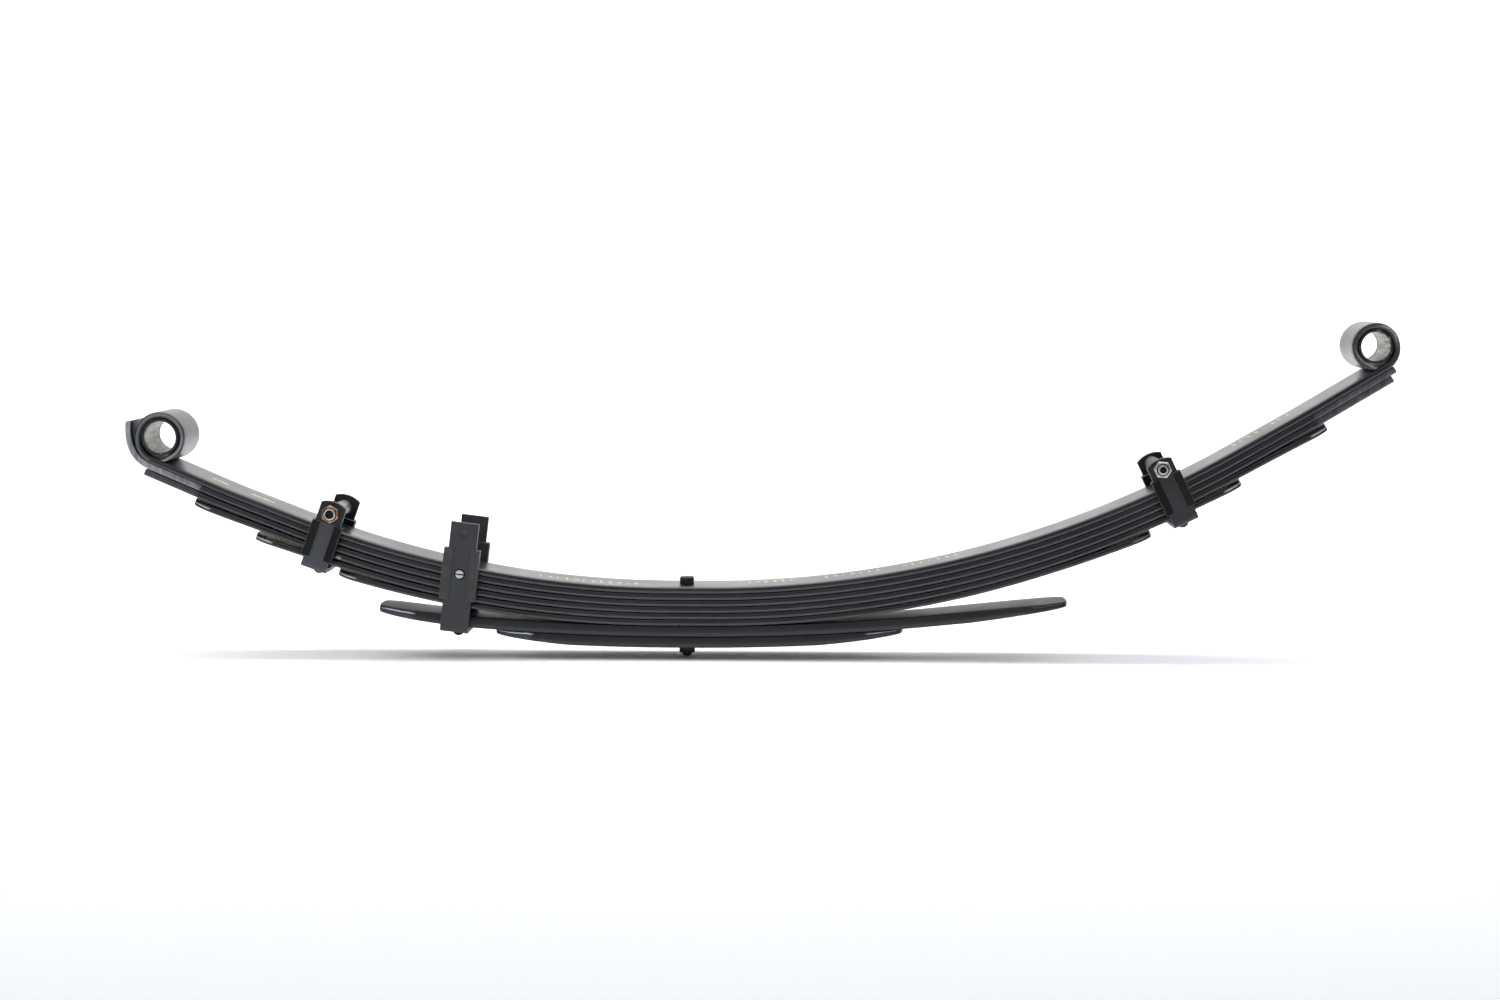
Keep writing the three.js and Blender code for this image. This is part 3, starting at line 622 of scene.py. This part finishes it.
def roll_rows(side):
    """The main leaf's eye, rolled up, over and back to its tapered tip."""
    eye = EYE[side]
    line = LINE[side]
    end = length_of(line)
    slope = point_on(line, end)[2]
    cx, cz = below(line, side, end, -eye["lift"])
    last = 2 * math.pi - math.radians(24)
    taper = math.radians(26)

    def at(radius, angle):
        a = slope + angle
        return cx + side * radius * math.sin(a), cz - radius * math.cos(a)

    def inner(angle):
        opened = 1 - smooth(angle / math.radians(80))
        closing = eye["inner"] + (eye["lift"] - eye["inner"]) * opened
        return closing + (eye["tip"] - eye["inner"]) * smooth((angle - (last - taper)) / taper)

    def outer(angle):
        full = inner(min(angle, math.pi)) + THIN
        back = 2 * math.pi - angle
        return min(full, (eye["lift"] - GAP) / math.cos(back)) if back < 1 else full

    rows = []
    count = 84
    for k in range(1, count + 1):
        a = last * k / count
        thick = outer(a) - inner(a)
        rows.append({
            "top": at(inner(a), a), "bottom": at(outer(a), a), "half": WIDTH / 2,
            "bulge": min(2.7, max(0.25, thick * 0.41)), "along": side * (end + 20 * a),
            # the scroll's tapered tip is ground bright, with a painted highlight on it
            "burnish_and_glint": 0.5 * smooth((a - (last - taper * 1.3)) / taper),
            **eye_highlight(side, a, last),
        })
    return rows


def eye_highlight(side, a, last):
    """How strong the painted highlight on each eye's edge is, and at what level, round the roll."""
    inside = smooth((a - (last - math.radians(110))) / math.radians(60))
    if side == FRONT:
        return {"edge_highlight": 0.16 + 0.16 * smooth(a / 2.5) + 0.25 * inside,
                "highlight_at": 0.1 * inside - 0.15}
    crown = math.exp(-((math.degrees(a) - 105) / 28) ** 2)
    return {"edge_highlight": 0.04 + 0.95 * crown + 0.5 * inside, "highlight_at": 0.35 * inside - 0.4 * crown}


CRADLE_GAP, CRADLE_TIP = 5.2, 5.2  # at the cradle's tip, its gap to the eye and its thickness


def wrap_rows():
    """The second leaf's front end, which cradles the eye and stands off it at the tip."""
    end = length_of(LINE[FRONT])
    slope = point_on(LINE[FRONT], end)[2]
    cx, cz = below(LINE[FRONT], FRONT, end, -EYE[FRONT]["lift"])
    last, follows = math.radians(95.6), math.radians(40)

    def at(radius, angle):
        a = slope + angle
        return cx - radius * math.sin(a), cz - radius * math.cos(a)

    rows = []
    count = 36
    for k in range(1, count + 1):
        a = last * k / count
        opening = max(0.0, (a - follows) / (last - follows)) ** 2.2
        ending = smooth((a - follows) / (last - follows))
        inner = EYE[FRONT]["lift"] + PITCH + CRADLE_GAP * opening
        outer = inner + THIN + (CRADLE_TIP - THIN) * ending
        blunt = 0.5 if k == count else 0.0
        rows.append({
            "top": at(inner + blunt, a), "bottom": at(outer - blunt, a * (1 - 0.04 * ending)),
            "half": WIDTH / 2 - TRIM_IN - blunt, "bulge": 0.7, "along": -end - 30 * a, "sheared": 1.0,
        })
    return rows


def constant(value):
    return lambda s: value


INK_RUNS = [(-168, -50), (64, 124), (151, 214), (239, 299), (611, 682)]
DASH_RUNS = [(-536, -515), (-490, -460)]


def ink(rows):
    """Marks which stretches of the main leaf carry paint strokes."""
    for row in rows:
        s = row["along"]
        row["inked"] = float(any(a <= s <= b for a, b in INK_RUNS))
        row["dash"] = float(any(a <= s <= b for a, b in DASH_RUNS))
        row["ink_middle"] = -4.0 if s < 0 else 8.5
    return rows


END = {FRONT: "front", REAR: "rear"}


def finish_leaf(obj, node, look):
    obj.data.materials.append(LOOKS[look])
    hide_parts(node)


def flexing_leaf(node, halves, look="leaf"):
    """Two halves that meet at the centre bolt and curve out towards each end."""
    for side, rows in halves.items():
        obj = bar(f"{node}_{END[side]}", rows)
        finish_leaf(obj, node, look)
        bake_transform(obj)


def stiff_leaf(node, halves):
    rows = list(reversed(halves[FRONT][1:])) + halves[REAR]
    obj = bar(node, rows)
    finish_leaf(obj, node, "helper")
    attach(obj, "centre_pack")


def main_leaf():
    halves = {}
    for side in (FRONT, REAR):
        end = length_of(LINE[side])
        rows = leaf_rows(side, LINE[side], end, {"goes_on": True}, constant(0), constant(THIN))
        halves[side] = ink(rows + roll_rows(side))
    flexing_leaf("main_leaf", halves, "main")


THIN_LEAVES = [
    ("second_leaf", 1, {"tip": length_of(LINE[FRONT]), "trim": 62, "bare": 1, "goes_on": True},
     {"tip": 799.6, "trim": 100, "bare": 0.22}),
    ("third_leaf", 2, {"tip": 600, "trim": 64, "bare": 0.16}, {"tip": 792.5, "trim": 92, "bare": 0.2}),
    ("fourth_leaf", 3, {"tip": 542, "crop": 24, "droop": 2.2, "shine": 0.8, "scrap": 1},
     {"tip": 711, "crop": 24, "droop": 3, "shine": 0.8}),
    ("fifth_leaf", 4, {"tip": 468, "crop": 24, "droop": 4.6, "chalk": 1, "shine": 1},
     {"tip": 604.5, "crop": 24, "droop": 2.6, "chalk": 1, "shine": 0.8}),
    ("sixth_leaf", 5, {"tip": 372, "crop": 24, "droop": 2.2, "chalk": 1, "shine": 0.7},
     {"tip": 498, "crop": 24, "droop": 2.6, "chalk": 1, "shine": 0.25}),
]


def thin_leaves():
    for node, order, front, rear in THIN_LEAVES:
        halves = {}
        for side, form in ((FRONT, front), (REAR, rear)):
            depth = thin_depth(order, side, form["tip"], form.get("droop", 0))
            halves[side] = leaf_rows(side, LINE[side], form["tip"], form, depth, constant(THIN))
        if front.get("goes_on"):
            halves[FRONT] += wrap_rows()
        flexing_leaf(node, halves)


HELPERS = [
    ("upper_helper_leaf", 0, {"tip": 330.5, "thin": 6.8, "taper": 100, "crop": 43, "crest": 1},
     {"tip": 409.5, "thin": 5.2, "taper": 110, "crop": 43, "crest": 0.1}),
    ("lower_helper_leaf", 1, {"tip": 205, "thin": 5.2, "taper": 85, "crop": 44, "crest": 1},
     {"tip": 231, "thin": 5.2, "taper": 95, "crop": 42, "crest": 0.5}),
]


def helper_leaves():
    for node, order, front, rear in HELPERS:
        halves = {}
        for side, form in ((FRONT, front), (REAR, rear)):
            def thickness(s, form=form):
                t = max(0.0, (s - (form["tip"] - form["taper"])) / form["taper"])
                return HELPER - (HELPER - form["thin"]) * t ** 1.4
            top = constant(6 * PITCH + order * (HELPER + GAP))
            halves[side] = leaf_rows(side, HELPER_LINE[side], form["tip"], form, top, thickness)
        stiff_leaf(node, halves)


main_leaf()
thin_leaves()
helper_leaves()

# ---------------------------------------------------------------- clip bolts, nuts and pegs

STRAP_FACE = 38.1  # from the middle plane to a nut's seat
NUT_DEPTH, HEAD_DEPTH, FLATS, CORNER = 8.0, 6.4, 16.6, 9.7
CONE_EDGE, CONE_SLOPE = 7.8, 0.58  # where the cone that cuts a hexagon's corners starts
SIDES = 72
SHARP_TURNED = math.radians(28)


def centre_of(node):
    low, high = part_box(node)
    return [(a + b) / 2 / MM for a, b in zip(low, high)]


def turned(name, centre, turn, profile, closed=False):
    """A solid about a line across the leaves. A profile row is its y, its radius and whether
    the hexagon's flats cut it."""
    verts, faces = [], []
    for y, radius, flat in profile:
        for k in range(SIDES):
            a = 2 * math.pi * k / SIDES
            r = radius
            if flat:
                r = min(radius, FLATS / 2 / math.cos(a % (math.pi / 3) - math.pi / 6))
            angle = a + math.radians(turn)
            verts.append(((centre[0] + r * math.cos(angle)) * MM, y * MM,
                          (centre[2] + r * math.sin(angle)) * MM))
    rows = len(profile)
    for i in range(rows if closed else rows - 1):
        j = (i + 1) % rows
        for k in range(SIDES):
            m = (k + 1) % SIDES
            faces.append((i * SIDES + k, j * SIDES + k, j * SIDES + m, i * SIDES + m))
    if not closed:
        faces.append(tuple(range(SIDES)))
        faces.append(tuple((rows - 1) * SIDES + k for k in range(SIDES)))
    obj = add_mesh(name, verts, faces)
    tidy_normals(obj)
    return obj


def tidy_normals(obj):
    work = bmesh.new()
    work.from_mesh(obj.data)
    bmesh.ops.recalc_face_normals(work, faces=work.faces)
    work.to_mesh(obj.data)
    work.free()
    obj.data.set_sharp_from_angle(angle=SHARP_TURNED)


def chamfer(face, way):
    """The rows of a hexagon's cone-cut corners, from its face to its full width."""
    radii = (CONE_EDGE, 8.1, 8.4, 8.8, 9.2, CORNER)
    return [(face - way * CONE_SLOPE * (r - CONE_EDGE), r, True) for r in radii]


def darken(obj, centre, look, radius):
    """Gives a turned solid its look, and a painted shade to whatever lies deeper than its near rim."""
    obj.data.materials.append(LOOKS[look])
    obj.data.materials.append(LOOKS["recess"])
    for polygon in obj.data.polygons:
        corners = [obj.data.vertices[v].co for v in polygon.vertices]
        near = polygon.center.y < -(STRAP_FACE + 4) * MM
        reach = max(math.hypot(c.x / MM - centre[0], c.z / MM - centre[2]) for c in corners)
        if near and reach < radius:
            polygon.material_index = 1


def clip_fasteners(end, turn, nut_look, collar, bore):
    """A hexagon nut with a crimped collar, and the bolt whose end sits down inside it."""
    link = f"{end}_link"
    centre = centre_of(f"{end}_clip_nut")
    face = -(STRAP_FACE + NUT_DEPTH)
    groove = collar + 1.1
    nut = turned(f"{end}_clip_nut_turned", centre, turn, [
        (-STRAP_FACE, 5.3, False), (-STRAP_FACE, CORNER, True),
        *reversed(chamfer(face, -1)), (face, min(groove + 0.3, 7.7), False),
        (face + 0.3, groove, False), (face + 1.8, groove - 0.1, False), (face + 1.8, 5.3, False),
    ], closed=True)
    darken(nut, centre, nut_look, groove + 0.05)
    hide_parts(f"{end}_clip_nut")
    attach(nut, link)
    head = STRAP_FACE + HEAD_DEPTH
    tip = face - 1.2
    bolt = turned(f"{end}_clip_bolt_turned", centre, turn + 17, [
        (head, 7.4, False), *chamfer(head, 1), (STRAP_FACE, CORNER, True), (STRAP_FACE, 5.0, False),
        (face + 1.9, 5.0, False), (face + 1.9, collar, False), (tip + 0.7, collar, False),
        (tip + 0.2, collar - 0.25, False), (tip, collar - 0.7, False), (tip, bore + 0.5, False),
        (tip + 0.3, bore, False), (tip + 2.3, bore - 0.1, False), (tip + 2.0, bore * 0.6, False),
        (tip + 1.7, 0.3, False),
    ])
    darken(bolt, centre, "zinc", bore + 0.05)
    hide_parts(f"{end}_clip_bolt")
    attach(bolt, link)


clip_fasteners("front", 90, "copper", 6.5, 4.7)
clip_fasteners("rear", -4, "zinc", 5.5, 3.6)

GUIDE_AT, GUIDE_SPAN, GUIDE_PEG = 249, 54.4, -7.5
PEG_FACE, PEG_RADIUS, PEG_SLOT, PEG_RISE = 38.9, 4.5, 0.75, 1.4


def peg_centre():
    x, z, slope = point_on(HELPER_LINE[FRONT], GUIDE_AT)
    lean = slope + math.radians(2)
    span = GUIDE_SPAN + GUIDE_PEG
    return -x + span * math.sin(lean), z - 6 * PITCH + span * math.cos(lean), lean


def peg_half(name, side, way):
    """One domed half of a split peg, above (way 1) or below (way -1) its slot."""
    cx, cz, lean = peg_centre()
    across, up = 12, 6
    reach = math.sqrt(PEG_RADIUS ** 2 - PEG_SLOT ** 2)
    verts, faces = [], []
    for back in (False, True):
        for i in range(across + 1):
            x = -reach * math.cos(math.pi * i / across)
            top = math.sqrt(max(PEG_SLOT ** 2, PEG_RADIUS ** 2 - x * x))
            for j in range(up + 1):
                z = way * (PEG_SLOT + (top - PEG_SLOT) * j / up)
                rise = PEG_RISE * math.sqrt(max(0, 1 - (x * x + z * z) / PEG_RADIUS ** 2))
                y = PEG_FACE - 0.6 if back else PEG_FACE + rise
                verts.append(((cx + x * math.cos(lean) + z * math.sin(lean)) * MM, side * y * MM,
                              (cz - x * math.sin(lean) + z * math.cos(lean)) * MM))
    n = up + 1
    shift = (across + 1) * n
    for i in range(across):
        for j in range(up):
            face = (i * n + j, (i + 1) * n + j, (i + 1) * n + j + 1, i * n + j + 1)
            faces += [face, tuple(v + shift for v in reversed(face))]
    rim = [i * n for i in range(across + 1)] + [across * n + j for j in range(1, n)]
    rim += [i * n + up for i in range(across - 1, -1, -1)] + [j for j in range(up - 1, 0, -1)]
    for a, b in zip(rim, rim[1:] + rim[:1]):
        faces.append((a, b, b + shift, a + shift))
    obj = add_mesh(name, verts, faces)
    weld_doubles(obj)
    obj.data.materials.append(LOOKS["peg"])
    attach(obj, "centre_pack")


def weld_doubles(obj):
    work = bmesh.new()
    work.from_mesh(obj.data)
    bmesh.ops.remove_doubles(work, verts=work.verts, dist=0.00001)
    work.to_mesh(obj.data)
    work.free()
    tidy_normals(obj)


for side, where in ((-1, "near"), (1, "far")):
    peg_half(f"guide_peg_{where}_upper", side, 1)
    peg_half(f"guide_peg_{where}_lower", side, -1)

# ---------------------------------------------------------------- solids kept, with softer edges

CARRIED = {
    "front_eye_sleeve": ("sleeve", 0.5, None), "rear_eye_sleeve": ("sleeve", 0.5, None),
    "centre_bolt": ("fastener", 0.5, None), "centre_nut": ("fastener", 0.5, None),
    "guide_clip_strap": ("guide_strap", 0.8, "strap_edge_highlight"),
    "guide_clip_liner_near": ("satin_nylon", 0.4, "nylon_edge_highlight"),
    "guide_clip_liner_far": ("satin_nylon", 0.4, "nylon_edge_highlight"),
    "guide_clip_rivet": ("fastener", 0.4, None),
}
for end, tube in (("front", "spacer"), ("rear", "satin_nylon")):
    CARRIED.update({
        f"{end}_clip_strap": (f"{end}_strap", 1.0, "strap_edge_highlight"),
        f"{end}_clip_liner_near": ("nylon", 0.55, "nylon_edge_highlight"),
        f"{end}_clip_liner_far": ("nylon", 0.55, "nylon_edge_highlight"),
        f"{end}_clip_spacer": (tube, 0.3, None),
        f"{end}_clip_rivet": ("fastener", 0.4, None),
    })


def soften(obj, width, edge_highlight):
    """Breaks a solid's sharp edges, which may take a paler look than its faces, as a painted
    highlight.
    """
    weld = obj.modifiers.new("weld", "WELD")
    weld.merge_threshold = 0.00002
    bevel = obj.modifiers.new("bevel", "BEVEL")
    bevel.width = width * MM
    bevel.segments = 2
    bevel.limit_method = "ANGLE"
    bevel.angle_limit = math.radians(32)
    bevel.harden_normals = True
    # the bevel's faces take the paler edge look, a painted highlight
    if edge_highlight:
        obj.data.materials.append(LOOKS[edge_highlight])
        bevel.material = 1


for node, (look, width, edge_highlight) in CARRIED.items():
    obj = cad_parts[node]
    obj.data.materials.clear()
    obj.data.materials.append(LOOKS[look])
    soften(obj, width, edge_highlight)
